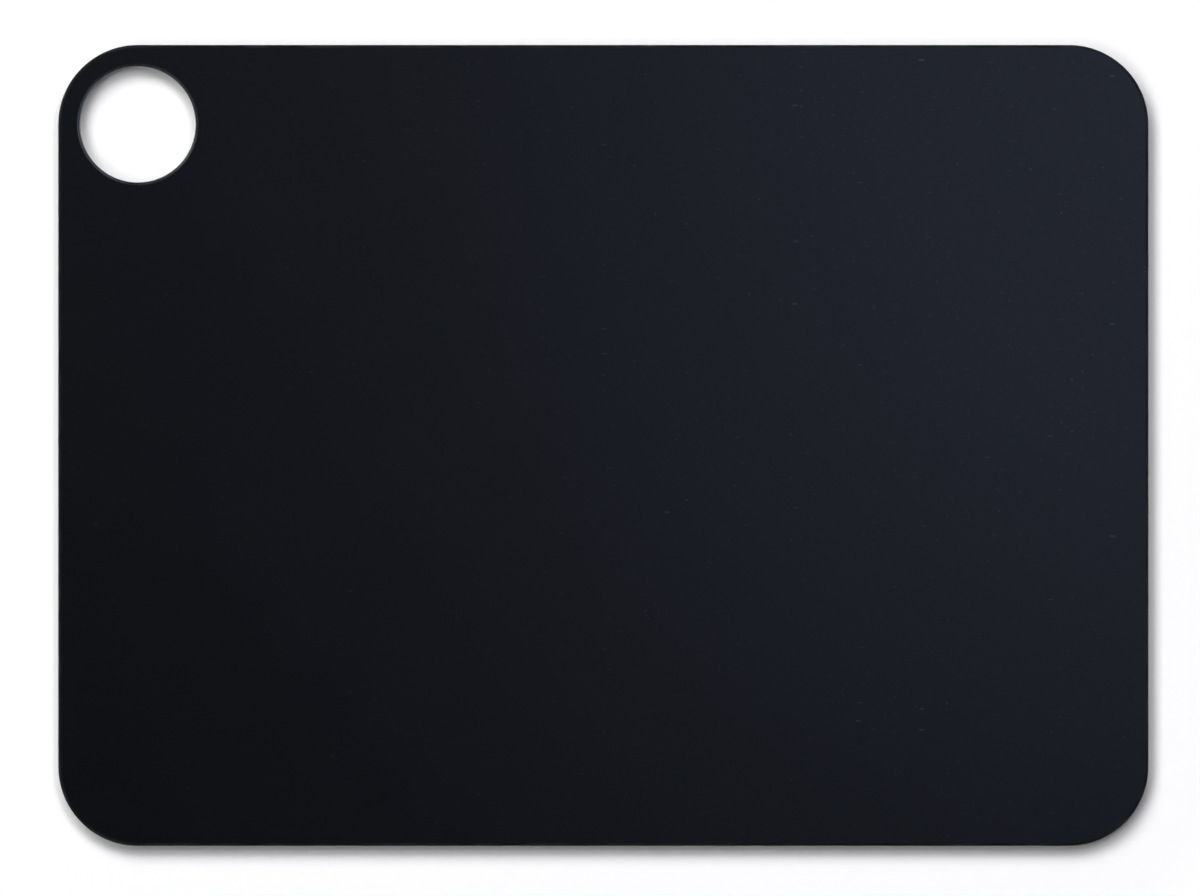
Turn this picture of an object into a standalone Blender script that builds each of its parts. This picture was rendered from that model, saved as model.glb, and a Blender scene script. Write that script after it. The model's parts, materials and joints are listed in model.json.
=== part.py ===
# Composite cutting board, pressed from a stack of paper sheets and machined to shape.
# Metres, +Z up. The origin is on the rest face, below the middle of the board.
# +X runs along the board's length. The hanging hole is in the -X +Y corner.

import math

import bmesh
import bpy
from mathutils import Vector

# Board outline
LENGTH = 0.377
WIDTH = 0.277

# Hanging hole, and the even rim of board left between it and the rounded corner
HOLE_DIAMETER = 0.040
RIM_WIDTH = 0.0075

# Rounded edge that the cutter leaves along the outline and round the hole, on both faces
ARRIS_RADIUS = 0.001

# The pressed stack: a face sheet outside, core sheets between, cured resin from sheet to sheet
FACE_SHEET_THICKNESS = 0.000245
CORE_SHEET_THICKNESS = 0.00024
CORE_SHEET_COUNT = 24
RESIN_FILM = 0.00001

# Fineness of the round stretches
CORNER_STEPS = 12
HOLE_STEPS = 48
ARRIS_STEPS = 5

# Finish: colour as sRGB, roughness, specular level
FACE_FINISH = ("#121418", 0.42, 0.35)
CORE_FINISH = ("#0E0F11", 0.62, 0.30)

# Sizes that follow from the ones above
SHEET_THICKNESSES = (
    [FACE_SHEET_THICKNESS]
    + [CORE_SHEET_THICKNESS] * CORE_SHEET_COUNT
    + [FACE_SHEET_THICKNESS]
)
THICKNESS = sum(SHEET_THICKNESSES) + RESIN_FILM * (len(SHEET_THICKNESSES) - 1)
HOLE_RADIUS = HOLE_DIAMETER / 2
CORNER_RADIUS = HOLE_RADIUS + RIM_WIDTH
HOLE_CENTRE = Vector((CORNER_RADIUS - LENGTH / 2, WIDTH / 2 - CORNER_RADIUS))


def clear_scene():
    for old in list(bpy.data.objects):
        bpy.data.objects.remove(old, do_unlink=True)


def srgb_to_linear(code):
    channels = [int(code[i:i + 2], 16) / 255 for i in (1, 3, 5)]
    return [c / 12.92 if c <= 0.04045 else ((c + 0.055) / 1.055) ** 2.4 for c in channels]


def make_material(name, finish):
    colour, roughness, specular = finish
    material = bpy.data.materials.new(name)
    material.use_nodes = True
    shader = material.node_tree.nodes["Principled BSDF"]
    shader.inputs["Base Color"].default_value = srgb_to_linear(colour) + [1.0]
    shader.inputs["Metallic"].default_value = 0.0
    shader.inputs["Roughness"].default_value = roughness
    shader.inputs["Specular IOR Level"].default_value = specular
    return material


def arris_inset(height):
    """How far the rounded edge draws the machined wall in at this height of the board."""
    depth = max(0.0, min(height, THICKNESS - height))
    if depth >= ARRIS_RADIUS:
        return 0.0
    return ARRIS_RADIUS - math.sqrt(ARRIS_RADIUS ** 2 - (ARRIS_RADIUS - depth) ** 2)


def arris_heights():
    """Heights at which the rounded edge turns by one step, on both faces."""
    heights = []
    for i in range(1, ARRIS_STEPS + 1):
        depth = ARRIS_RADIUS * (1 - math.cos(math.pi / 2 * i / ARRIS_STEPS))
        heights += [depth, THICKNESS - depth]
    return heights


def outline_points(inset):
    """The board's rounded rectangle, drawn in by the inset, anticlockwise from the +X +Y corner."""
    points = []
    for quarter, (side_x, side_y) in enumerate(((1, 1), (-1, 1), (-1, -1), (1, -1))):
        centre = Vector((
            side_x * (LENGTH / 2 - CORNER_RADIUS),
            side_y * (WIDTH / 2 - CORNER_RADIUS),
        ))
        for i in range(CORNER_STEPS + 1):
            angle = math.pi / 2 * (quarter + i / CORNER_STEPS)
            reach = Vector((math.cos(angle), math.sin(angle))) * (CORNER_RADIUS - inset)
            points.append(centre + reach)
    return points


def hole_points(inset):
    """The hanging hole's circle, opened out by the inset."""
    points = []
    for i in range(HOLE_STEPS):
        angle = 2 * math.pi * i / HOLE_STEPS
        reach = Vector((math.cos(angle), math.sin(angle))) * (HOLE_RADIUS + inset)
        points.append(HOLE_CENTRE + reach)
    return points


def add_ring(bm, points, z):
    """A closed ring of edges at one height."""
    verts = [bm.verts.new((p.x, p.y, z)) for p in points]
    return [bm.edges.new((a, b)) for a, b in zip(verts, verts[1:] + verts[:1])]


def sheet_mesh(name, bottom, thickness):
    """One sheet's mesh, standing on its own underside, with the machined wall of its height."""
    turns = [z - bottom for z in arris_heights()]
    inner_levels = sorted(z for z in turns if 0.05 * thickness < z < 0.95 * thickness)
    levels = [0.0] + inner_levels + [thickness]
    bm = bmesh.new()
    walls = []
    for ring_points in (outline_points, hole_points):
        rings = [add_ring(bm, ring_points(arris_inset(bottom + z)), z) for z in levels]
        for lower, upper in zip(rings, rings[1:]):
            bmesh.ops.bridge_loops(bm, edges=lower + upper)
        walls.append(rings)
    for end in (0, -1):
        rims = [edge for rings in walls for edge in rings[end]]
        bmesh.ops.triangle_fill(bm, use_beauty=True, use_dissolve=False, edges=rims)
    bmesh.ops.recalc_face_normals(bm, faces=bm.faces)
    mesh = bpy.data.meshes.new(name)
    bm.to_mesh(mesh)
    bm.free()
    mesh.shade_smooth()
    mesh.set_sharp_from_angle(angle=math.radians(30))
    return mesh


def add_sheet(name, mesh, height, parent):
    sheet = bpy.data.objects.new(name, mesh)
    sheet.location = (0, 0, height)
    sheet.parent = parent
    bpy.context.collection.objects.link(sheet)
    return sheet


def sheet_name(index):
    if index == 0:
        return "bottom_face_sheet"
    if index == CORE_SHEET_COUNT + 1:
        return "top_face_sheet"
    return f"core_sheet_{index:02d}"


def build_board():
    board = bpy.data.objects.new("board", None)
    bpy.context.collection.objects.link(board)
    face_material = make_material("face_sheet", FACE_FINISH)
    core_material = make_material("core_sheet", CORE_FINISH)
    straight_mesh = None
    bottom = 0.0
    for index, thickness in enumerate(SHEET_THICKNESSES):
        is_face = index in (0, CORE_SHEET_COUNT + 1)
        is_straight = ARRIS_RADIUS <= bottom and bottom + thickness <= THICKNESS - ARRIS_RADIUS
        if is_straight and not is_face:
            if straight_mesh is None:
                straight_mesh = sheet_mesh("core_sheet", bottom, thickness)
                straight_mesh.materials.append(core_material)
            mesh = straight_mesh
        else:
            mesh = sheet_mesh(sheet_name(index), bottom, thickness)
            mesh.materials.append(face_material if is_face else core_material)
        add_sheet(sheet_name(index), mesh, bottom, board)
        bottom += thickness + RESIN_FILM


clear_scene()
build_board()
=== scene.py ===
import json
import math
import bmesh
import bpy
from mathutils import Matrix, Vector


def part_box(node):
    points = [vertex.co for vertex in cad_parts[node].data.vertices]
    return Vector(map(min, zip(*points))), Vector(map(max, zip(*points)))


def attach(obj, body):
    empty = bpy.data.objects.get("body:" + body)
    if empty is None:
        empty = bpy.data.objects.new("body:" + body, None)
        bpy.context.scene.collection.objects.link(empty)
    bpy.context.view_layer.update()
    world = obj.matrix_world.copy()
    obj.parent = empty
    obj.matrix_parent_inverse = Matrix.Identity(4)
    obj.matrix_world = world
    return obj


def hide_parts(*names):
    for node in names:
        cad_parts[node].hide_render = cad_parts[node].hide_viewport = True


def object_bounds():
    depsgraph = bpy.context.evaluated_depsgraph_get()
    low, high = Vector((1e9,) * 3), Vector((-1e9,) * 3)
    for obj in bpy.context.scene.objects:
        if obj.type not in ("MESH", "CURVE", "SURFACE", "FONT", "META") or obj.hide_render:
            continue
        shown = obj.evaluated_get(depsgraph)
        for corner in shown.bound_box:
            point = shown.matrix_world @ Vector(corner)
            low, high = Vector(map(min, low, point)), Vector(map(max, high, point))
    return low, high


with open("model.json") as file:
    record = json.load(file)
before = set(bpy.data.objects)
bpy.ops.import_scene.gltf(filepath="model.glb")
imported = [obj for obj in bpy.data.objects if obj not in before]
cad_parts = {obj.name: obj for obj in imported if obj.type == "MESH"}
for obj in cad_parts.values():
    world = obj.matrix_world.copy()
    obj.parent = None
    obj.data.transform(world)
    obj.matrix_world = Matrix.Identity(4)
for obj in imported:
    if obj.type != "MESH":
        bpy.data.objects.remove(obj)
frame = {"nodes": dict(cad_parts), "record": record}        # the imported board, 26 sheets on one body, in metres
cadLow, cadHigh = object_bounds()
print("frame loaded:", len(frame["nodes"]), "sheets")


# small helpers

def deselectAll():
    if bpy.context.object is not None and bpy.context.object.mode != "OBJECT":
        bpy.ops.object.mode_set(mode="OBJECT")
    bpy.ops.object.select_all(action="DESELECT")


def pick(piece):
    deselectAll()
    piece.select_set(True)
    bpy.context.view_layer.objects.active = piece


def hexColour(code):      # sRGB hex to the linear colour that a shader socket holds
    channels = [int(code[i:i + 2], 16) / 255 for i in (1, 3, 5)]
    return [c / 12.92 if c <= 0.04045 else ((c + 0.055) / 1.055) ** 2.4 for c in channels] + [1.0]


def perMillimetre(size):  # texture scale at which one feature measures this many millimetres
    return 1000.0 / size


def addNode(tree, kind, settings=None, links=None):
    # settings are the node's own fields or its sockets' values, links are socket: (node, output)
    node = tree.nodes.new(kind)
    for name, value in (settings or {}).items():
        if isinstance(name, str) and hasattr(node, name):
            setattr(node, name, value)
        else:
            node.inputs[name].default_value = value
    for name, (source, output) in (links or {}).items():
        tree.links.new(source.outputs[output], node.inputs[name])
    return node


def newMaterial(name):
    material = bpy.data.materials.new(name)
    material.use_nodes = True
    material.node_tree.nodes.clear()
    return material, material.node_tree


# materials

softNoise = {"Detail": 3.0, "Roughness": 0.6}      # three octaves, a little crisper than usual

facePaper = {
    "colour": "#030406",        # black with a breath of blue
    "lighter": "#07080B",       # the same paper where less resin lies over it
    "roughness": 0.335,
    "mottle": 1.1,              # mm, the orange peel that the press plate leaves
    "mottleSwing": 0.06,        # how much it changes the roughness
    "cloud": 26.0,              # mm, faint smudges in the sheen
    "cloudSwing": 0.02,
    "beadSpacing": (3.6, 3.6),      # mm between beads of resin
    "beadSize": 0.17,           # share of the spacing, so 0.6 mm
    "beadCoat": 0.17,           # how much more resin the faintest one has over it
    "fibreSpacing": (22.0, 6.0),    # mm along and across, between fibres that lie near the surface
    "fibreSize": 0.09,          # share of the spacing, so 2 by 0.5 mm
    "fibreCoat": 0.19,
    "spotFade": (0.65, 0.25),   # shares of its size where a spot starts and where it is at full strength
    "spotRarity": -0.385,       # a spot's strength is its chance to this power: most faint, a few strong
    "spotRoughness": 0.28,      # resin on its own dries a little smoother than the paper
    "bumpHeight": 0.000012,     # m
}


def addSpots(tree, place, spacing, size, strength):
    # one soft spot in each cell of a pattern in the plane of the face, most of them faint
    s = facePaper
    scale = (perMillimetre(spacing[0]), perMillimetre(spacing[1]), 1.0)
    stretched = addNode(tree, "ShaderNodeMapping", {"Scale": scale}, {"Vector": (place, "Object")})
    cells = addNode(tree, "ShaderNodeTexVoronoi", {"voronoi_dimensions": "2D", "Scale": 1.0},
                    {"Vector": (stretched, "Vector")})
    start, full = [size * share for share in s["spotFade"]]
    spot = addNode(tree, "ShaderNodeMapRange", {"From Min": start, "From Max": full, "To Max": strength},
                   {"Value": (cells, "Distance")})
    chance = addNode(tree, "ShaderNodeSeparateColor", {}, {"Color": (cells, "Color")})
    luck = addNode(tree, "ShaderNodeMath", {"operation": "POWER", 1: s["spotRarity"]}, {0: (chance, "Red")})
    return addNode(tree, "ShaderNodeMath", {"operation": "MULTIPLY"},
                   {0: (spot, "Result"), 1: (luck, "Value")})


def makeFacePaper():
    # phenolic paper laminate pressed against a satin plate: black, softly mottled sheen, no grain
    s = facePaper
    material, tree = newMaterial("pressedPaperFace")
    place = addNode(tree, "ShaderNodeTexCoord")
    mottle = addNode(tree, "ShaderNodeTexNoise", {"Scale": perMillimetre(s["mottle"]), **softNoise},
                     {"Vector": (place, "Object")})
    cloud = addNode(tree, "ShaderNodeTexNoise", {"Scale": perMillimetre(s["cloud"]), **softNoise},
                    {"Vector": (place, "Object")})

    # colour: a little lighter where the resin lies thin
    tone = addNode(tree, "ShaderNodeMath", {"operation": "MULTIPLY"},
                   {0: (mottle, "Fac"), 1: (cloud, "Fac")})
    paper = addNode(tree, "ShaderNodeMix",
                    {"data_type": "RGBA", 6: hexColour(s["colour"]), 7: hexColour(s["lighter"])},
                    {"Factor": (tone, "Value")})

    # roughness: orange peel and smudges
    peel = addNode(tree, "ShaderNodeMapRange",
                   {"To Min": s["roughness"] - s["mottleSwing"], "To Max": s["roughness"] + s["mottleSwing"]},
                   {"Value": (mottle, "Fac")})
    smudge = addNode(tree, "ShaderNodeMapRange", {"To Min": -s["cloudSwing"], "To Max": s["cloudSwing"]},
                     {"Value": (cloud, "Fac")})
    roughness = addNode(tree, "ShaderNodeMath", {"operation": "ADD"},
                        {0: (peel, "Result"), 1: (smudge, "Result")})

    # specks: beads of resin and pressed fibres, which catch a little more light than the paper round them
    bead = addSpots(tree, place, s["beadSpacing"], s["beadSize"], s["beadCoat"])
    fibre = addSpots(tree, place, s["fibreSpacing"], s["fibreSize"], s["fibreCoat"])
    specks = addNode(tree, "ShaderNodeMath", {"operation": "ADD", "use_clamp": True},
                     {0: (bead, "Value"), 1: (fibre, "Value")})

    # relief of the orange peel
    bump = addNode(tree, "ShaderNodeBump", {"Strength": 1.0, "Distance": s["bumpHeight"]},
                   {"Height": (mottle, "Fac")})
    shader = addNode(tree, "ShaderNodeBsdfPrincipled",
                     {"IOR": 1.5, "Metallic": 0.0, "Coat Roughness": s["spotRoughness"]},
                     {"Base Color": (paper, 2), "Roughness": (roughness, "Value"),
                      "Coat Weight": (specks, "Value"), "Normal": (bump, "Normal")})
    addNode(tree, "ShaderNodeOutputMaterial", {}, {"Surface": (shader, "BSDF")})
    return material


cutPaper = {                    # the wall that the router leaves along the outline
    "colour": "#0C0D0F",        # the core is the same black, without the face's blue
    "lighter": "#1E1F21",       # a dry sheet between two resin-rich ones
    "toneRange": (0.35, 0.65),  # levels of the noise that give the first colour and the second
    "roughness": 0.36,
    "roughnessSwing": 0.06,
    "roughnessRange": (0.3, 0.7),   # levels of the noise that give the least and the most
    "specular": 0.15,           # machined paper shines far less than the pressed face
    "strata": 1.1,              # mm; the real sheets are a quarter of that, too fine to show
    "sanding": 9.0,             # mm, length of the fine marks that run along the cut
    "bumpHeight": 0.000015,     # m
}

rimPaperPaintedLight = dict(cutPaper,       # the hole's rounded rim: its colour is a little greyer as a painted highlight for the light that the rounded edge catches; its thin glint comes from its smoother, shinier finish
                colour="#121316", lighter="#232529", roughness=0.28, specular=1.0)

bondedPaper = dict(cutPaper,    # the sides that face into the stack: dull, cloudy as paper held to the light
                   colour="#0B0B0C", lighter="#171718", roughness=0.62, specular=0.4,
                   strata=4.0, sanding=4.0)


def makeBarePaper(name, s):
    # the same laminate without the skin of the press: duller, and a cut shows the sheets as faint lines
    material, tree = newMaterial(name)
    place = addNode(tree, "ShaderNodeTexCoord")
    along, across = perMillimetre(s["sanding"]), perMillimetre(s["strata"])
    layered = addNode(tree, "ShaderNodeMapping", {"Scale": (along, along, across)},
                      {"Vector": (place, "Object")})
    strata = addNode(tree, "ShaderNodeTexNoise", {"Scale": 1.0, **softNoise},
                     {"Vector": (layered, "Vector")})
    tone = addNode(tree, "ShaderNodeMapRange",
                   {"From Min": s["toneRange"][0], "From Max": s["toneRange"][1]},
                   {"Value": (strata, "Fac")})
    colour = addNode(tree, "ShaderNodeMix",
                     {"data_type": "RGBA", 6: hexColour(s["colour"]), 7: hexColour(s["lighter"])},
                     {"Factor": (tone, "Result")})
    roughness = addNode(tree, "ShaderNodeMapRange",
                        {"From Min": s["roughnessRange"][0], "From Max": s["roughnessRange"][1],
                         "To Min": s["roughness"] - s["roughnessSwing"],
                         "To Max": s["roughness"] + s["roughnessSwing"]},
                        {"Value": (strata, "Fac")})
    bump = addNode(tree, "ShaderNodeBump", {"Strength": 1.0, "Distance": s["bumpHeight"]},
                   {"Height": (strata, "Fac")})
    shader = addNode(tree, "ShaderNodeBsdfPrincipled",
                     {"IOR": 1.5, "Metallic": 0.0, "Specular IOR Level": s["specular"]},
                     {"Base Color": (colour, 2), "Roughness": (roughness, "Result"),
                      "Normal": (bump, "Normal")})
    addNode(tree, "ShaderNodeOutputMaterial", {}, {"Surface": (shader, "BSDF")})
    return material


# the pressed and routed blank

blank = {
    "holeRadius": 0.020,       # m
    "arrisRadius": 0.001,      # m, the rounded edge on both faces
    "cornerSegments": 28,
    "holeSegments": 160,
    "arrisSegments": 8,
    "cutterReach": 3,          # times the thickness, so that the cutter passes right through
    "sameHeight": 1e-6,        # m, heights closer than this are one height
    "sliceSnap": 1e-7,         # m, points closer than this to a slice lie on it
    "flatness": 0.999,         # upward part of a flat face's normal
    "smoothAngle": 30,         # degrees
}


def holeCentre():          # the middle of the opening that the record states
    low, high = frame["record"]["physics"]["openings"][0]["box_m"]
    return (Vector(low) + Vector(high)) / 2


def isUpright(edge):       # one of the block's four corner edges
    start, end = [vertex.co for vertex in edge.verts]
    return abs(start.z - end.z) > (cadHigh.z - cadLow.z) / 2


def isRim(edge):           # between a flat face and an upright wall
    return len({abs(face.normal.z) > 0.5 for face in edge.link_faces}) == 2


def bevelEdges(piece, wanted, radius, segments):
    pick(piece)
    bpy.ops.object.mode_set(mode="EDIT")
    bpy.ops.mesh.select_mode(type="EDGE")
    mesh = bmesh.from_edit_mesh(piece.data)
    for edge in mesh.edges:
        edge.select = wanted(edge)
    mesh.select_flush_mode()
    bmesh.update_edit_mesh(piece.data)
    bpy.ops.mesh.bevel(offset=radius, segments=segments, profile=0.5)
    bpy.ops.object.mode_set(mode="OBJECT")


def routeBlank():
    s = blank
    size, middle = cadHigh - cadLow, (cadHigh + cadLow) / 2
    hole = holeCentre()
    deselectAll()
    bpy.ops.mesh.primitive_cube_add(size=1.0, location=middle, scale=size)
    piece = bpy.context.object
    piece.name = "blank"
    bpy.ops.object.transform_apply(location=True, rotation=True, scale=True)
    # the corners share the hole's centre
    bevelEdges(piece, isUpright, hole.x - cadLow.x, s["cornerSegments"])
    deselectAll()
    bpy.ops.mesh.primitive_cylinder_add(vertices=s["holeSegments"], radius=s["holeRadius"],
                                        depth=size.z * s["cutterReach"], location=(hole.x, hole.y, middle.z))
    cutter = bpy.context.object
    pick(piece)
    cut = piece.modifiers.new("hangingHole", "BOOLEAN")
    cut.operation = "DIFFERENCE"
    cut.object = cutter
    bpy.ops.object.modifier_apply(modifier=cut.name)
    bpy.data.objects.remove(cutter, do_unlink=True)
    bevelEdges(piece, isRim, s["arrisRadius"], s["arrisSegments"])
    return piece


# the sheets, each sliced from the blank at the heights of its CAD node

def isInside(height):      # between the board's two faces, and on neither
    return cadLow.z + blank["sameHeight"] < height < cadHigh.z - blank["sameHeight"]


def finishOf(polygon):
    if abs(polygon.normal.z) > blank["flatness"]:
        return "bonded" if isInside(polygon.center.z) else "pressed"
    fromHole = (polygon.center - holeCentre()).xy.length
    # the hole's rim takes the finish whose greyer colour is a painted highlight
    return "turned" if fromHole < blank["holeRadius"] + 2 * blank["arrisRadius"] else "routed"


def sliceSheet(whole, node, name, finishes):
    low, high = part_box(node)
    pick(whole)
    bpy.ops.object.duplicate()
    piece = bpy.context.object
    piece.name = name
    piece.data.name = name
    bpy.ops.object.mode_set(mode="EDIT")
    for height, side in ((high.z, 1), (low.z, -1)):
        if isInside(height):
            bpy.ops.mesh.select_all(action="SELECT")
            bpy.ops.mesh.bisect(plane_co=(0, 0, height), plane_no=(0, 0, side),
                                use_fill=True, clear_outer=True, threshold=blank["sliceSnap"])
    bpy.ops.mesh.select_all(action="SELECT")
    bpy.ops.mesh.normals_make_consistent(inside=False)
    bpy.ops.object.mode_set(mode="OBJECT")
    used = sorted({finishOf(polygon) for polygon in piece.data.polygons})
    for finish in used:
        piece.data.materials.append(finishes[finish])
    for polygon in piece.data.polygons:
        polygon.material_index = used.index(finishOf(polygon))
    bpy.ops.object.shade_smooth_by_angle(angle=math.radians(blank["smoothAngle"]))
    weighted = piece.modifiers.new("evenNormals", "WEIGHTED_NORMAL")
    weighted.keep_sharp = True
    bpy.ops.object.modifier_apply(modifier=weighted.name)
    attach(piece, "root")
    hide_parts(node)


def makeSheets():
    finishes = {
        "pressed": makeFacePaper(),
        "routed": makeBarePaper("routedPaperEdge", cutPaper),
        # the hole's rim: a greyer colour as a painted highlight, with its own shine
        "turned": makeBarePaper("turnedPaperRim", rimPaperPaintedLight),
        "bonded": makeBarePaper("resinBondedPaper", bondedPaper),
    }
    whole = routeBlank()
    for node in sorted(frame["nodes"]):
        words = node.split("_")
        name = words[0] + "".join(word.capitalize() for word in words[1:])
        sliceSheet(whole, node, name, finishes)
    bpy.data.objects.remove(whole, do_unlink=True)


# studio

studio = {
    "floorSize": 12.0,               # m
    "floorDrop": 0.00002,            # m below the board, so that the two don't touch
    "floorColour": "#F9F9F9",
    "glowStart": 0.24,               # m from the middle, where the floor starts to turn pure white
    "glowEnd": 0.8,                  # m
    "worldFill": 0.004,              # a trace of light from all round
    "fillColour": "#E6E8FF",         # the shadows are a little cool
    "worldGloss": (0.005, 0.06),     # what the board mirrors straight up, and at the horizon
}


def makeFloor():
    s = studio
    deselectAll()
    bpy.ops.mesh.primitive_plane_add(size=s["floorSize"], location=(0, 0, cadLow.z - s["floorDrop"]))
    floor = bpy.context.object
    floor.name = "floor"
    bpy.ops.object.transform_apply(location=True, rotation=True, scale=True)
    material, tree = newMaterial("paleTable")
    place = addNode(tree, "ShaderNodeTexCoord")
    reach = addNode(tree, "ShaderNodeVectorMath", {"operation": "LENGTH"}, {0: (place, "Object")})
    glow = addNode(tree, "ShaderNodeMapRange", {"From Min": s["glowStart"], "From Max": s["glowEnd"]},
                   {"Value": (reach, "Value")})
    rays = addNode(tree, "ShaderNodeLightPath")
    seen = addNode(tree, "ShaderNodeMath", {"operation": "MULTIPLY"},
                   {0: (glow, "Result"), 1: (rays, "Is Camera Ray")})
    lit = addNode(tree, "ShaderNodeBsdfDiffuse", {"Color": hexColour(s["floorColour"])})
    white = addNode(tree, "ShaderNodeEmission", {"Color": (1, 1, 1, 1)}, {"Strength": (seen, "Value")})
    both = addNode(tree, "ShaderNodeAddShader", {}, {0: (lit, "BSDF"), 1: (white, "Emission")})
    addNode(tree, "ShaderNodeOutputMaterial", {}, {"Surface": (both, "Shader")})
    floor.data.materials.append(material)


def makeWorld():
    s = studio
    world = bpy.data.worlds.new("studio")
    bpy.context.scene.world = world
    world.use_nodes = True
    tree = world.node_tree
    tree.nodes.clear()
    place = addNode(tree, "ShaderNodeTexCoord")
    direction = addNode(tree, "ShaderNodeSeparateXYZ", {}, {"Vector": (place, "Generated")})
    zenith, horizon = s["worldGloss"]
    gloss = addNode(tree, "ShaderNodeMapRange",
                    {"From Min": 1.0, "From Max": 0.0, "To Min": zenith, "To Max": horizon},
                    {"Value": (direction, "Z")})
    rays = addNode(tree, "ShaderNodeLightPath")
    fill = addNode(tree, "ShaderNodeBackground",
                   {"Color": hexColour(s["fillColour"]), "Strength": s["worldFill"]})
    room = addNode(tree, "ShaderNodeBackground", {"Color": (1, 1, 1, 1)}, {"Strength": (gloss, "Result")})
    white = addNode(tree, "ShaderNodeBackground", {"Color": (1, 1, 1, 1), "Strength": 1.0})
    glossy = addNode(tree, "ShaderNodeMixShader", {},
                     {0: (rays, "Is Glossy Ray"), 1: (fill, "Background"), 2: (room, "Background")})
    seen = addNode(tree, "ShaderNodeMath", {"operation": "MAXIMUM"},
                   {0: (rays, "Is Camera Ray"), 1: (rays, "Is Transmission Ray")})
    both = addNode(tree, "ShaderNodeMixShader", {},
                   {0: (seen, "Value"), 1: (glossy, "Shader"), 2: (white, "Background")})
    addNode(tree, "ShaderNodeOutputWorld", {}, {"Surface": (both, "Shader")})


lamps = {
    "keyFar": {          # large, high over the far side: the soft shadow in front of the board
        "place": (-2.97, 6.54, 8.0), "target": (-2.97, 6.54, 0.0), "size": (8.66, 5.02),
        "power": 1028.0, "colour": "#FFFFFF", "lights": "diffuse",
    },
    "keyLeft": {         # a long one over the left side: the soft shadow to the right
        "place": (-4.77, 3.52, 8.0), "target": (-4.77, 3.52, 0.0), "size": (4.28, 16.0),
        "power": 786.0, "colour": "#FFFFFF", "lights": "diffuse",
    },
    "keyRight": {        # a small one to the right, which opens the shadows a little
        "place": (2.58, 3.74, 8.0), "target": (2.58, 3.74, 0.0), "size": (1.68, 4.50),
        "power": 231.0, "colour": "#F8F6FF", "lights": "diffuse",
    },
    "sheenPanel": {      # dim and bluish, over the far right quarter: the slow gradient on the face
        "place": (0.56, 0.58, 1.1), "target": (0.56, 0.58, 0.0), "size": (1.08, 1.38),
        "power": 4.1, "colour": "#C5D7FF", "lights": "gloss",
    },
    "cornerPanel": {     # small and dim, beyond the corner with the hole, where the face is a little lighter
        "place": (-0.38, 0.40, 1.1), "target": (-0.38, 0.40, 0.0), "size": (0.3, 0.3),
        "power": 0.19, "colour": "#E4D8FF", "lights": "gloss",
    },
    "leftCard": {        # small, up to the left: the line of light on the rim of the hole that faces it
        "place": (-1.31, 0.70, 2.37), "target": (0, 0, 0), "size": (1.2, 1.2),
        "power": 2.6, "colour": "#FFFFFF", "lights": "gloss",
    },
    "rightCard": {       # its weaker twin at the right
        "place": (1.45, -0.31, 2.37), "target": (0, 0, 0), "size": (1.2, 1.2),
        "power": 1.3, "colour": "#FFFFFF", "lights": "gloss",
    },
    "farCard": {         # and a fainter one beyond the far side
        "place": (0.38, 1.43, 2.37), "target": (0, 0, 0), "size": (1.2, 1.2),
        "power": 0.6, "colour": "#FFFFFF", "lights": "gloss",
    },
    "lowLeftCard": {     # low beyond the left corner: the satin sheen that shows from the front right
        "place": (-2.20, 1.35, 1.25), "target": (0, 0, 0), "size": (1.4, 1.4),
        "power": 8.0, "colour": "#FFFFFF", "lights": "gloss",
    },
    "lowRightCard": {    # low at the front right: the same from the back left
        "place": (1.87, -1.57, 0.89), "target": (0, 0, 0), "size": (1.4, 1.4),
        "power": 3.0, "colour": "#FFFFFF", "lights": "gloss",
    },
}


def makeLamps():
    for name, s in lamps.items():
        data = bpy.data.lights.new(name, "AREA")
        data.shape = "RECTANGLE"
        data.size, data.size_y = s["size"]
        data.energy = s["power"]
        data.color = hexColour(s["colour"])[:3]
        lamp = bpy.data.objects.new(name, data)
        bpy.context.scene.collection.objects.link(lamp)
        lamp.location = s["place"]
        aim = Vector(s["target"]) - lamp.location
        if aim.xy.length > 0:      # a lamp that hangs straight down is left unturned
            lamp.rotation_euler = aim.to_track_quat("-Z", "Y").to_euler()
        lamp.visible_camera = False
        lamp.visible_diffuse = s["lights"] != "gloss"
        lamp.visible_glossy = s["lights"] != "diffuse"


cameraSettings = {
    "height": 7.0,                   # m above the work face
    "frameWidth": 0.4149,            # m of the work face across the picture
    "offset": (-0.00115, -0.00088),  # m, the picture's middle from the board's
    "sensor": 36.0,                  # mm
}


def makeCamera():
    s = cameraSettings
    data = bpy.data.cameras.new("camera")
    data.sensor_width = s["sensor"]
    data.lens = s["sensor"] * s["height"] / s["frameWidth"]
    camera = bpy.data.objects.new("camera", data)
    bpy.context.scene.collection.objects.link(camera)
    camera.location = (s["offset"][0], s["offset"][1], cadHigh.z + s["height"])
    bpy.context.scene.camera = camera
    bpy.context.scene.view_settings.view_transform = "Standard"


makeSheets()
print("sheets sliced and finished")
makeFloor()
makeWorld()
makeLamps()
makeCamera()
print("studio ready")
